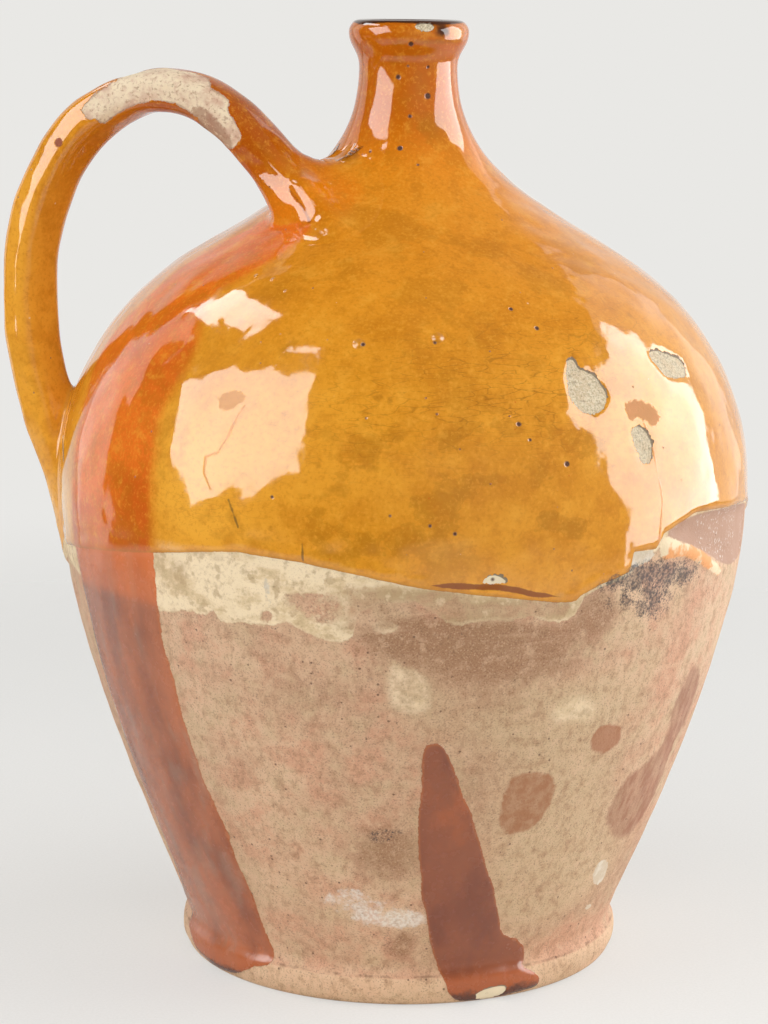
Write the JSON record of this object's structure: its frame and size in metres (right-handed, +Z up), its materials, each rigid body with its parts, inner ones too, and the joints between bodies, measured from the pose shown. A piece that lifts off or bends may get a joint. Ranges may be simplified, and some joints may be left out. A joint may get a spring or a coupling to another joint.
{
  "type": "oil jug",
  "caption": "Round-bellied earthenware oil jug with a rolled foot, narrow neck, rolled lip and one loop handle, honey glaze over bare clay.",
  "frame": {"origin": "centre of the flat underside, where the jug stands", "axes": "+Z up along the turned axis, the lower handle root towards -X, -Y towards the viewer of the picture"},
  "size_m": [0.295, 0.2734, 0.37],
  "materials": {
    "bare_clay": "dry unglazed earthenware with slip stains",
    "brown_clay": "dry earthenware darkened by glaze runs",
    "honey_glaze": "glossy crazed lead glaze",
    "amber_glaze": "glossy thick glaze",
    "ochre_glaze": "glossy glaze, worn through on the arch"
  },
  "bodies": {
    "root": {"foot": "brown_clay", "lower_wall": "bare_clay", "shoulder": "honey_glaze", "neck": "honey_glaze", "lip": "amber_glaze", "handle": "ochre_glaze", "handle_upper_root": "amber_glaze", "handle_lower_root": "ochre_glaze"}
  },
  "joints": []
}
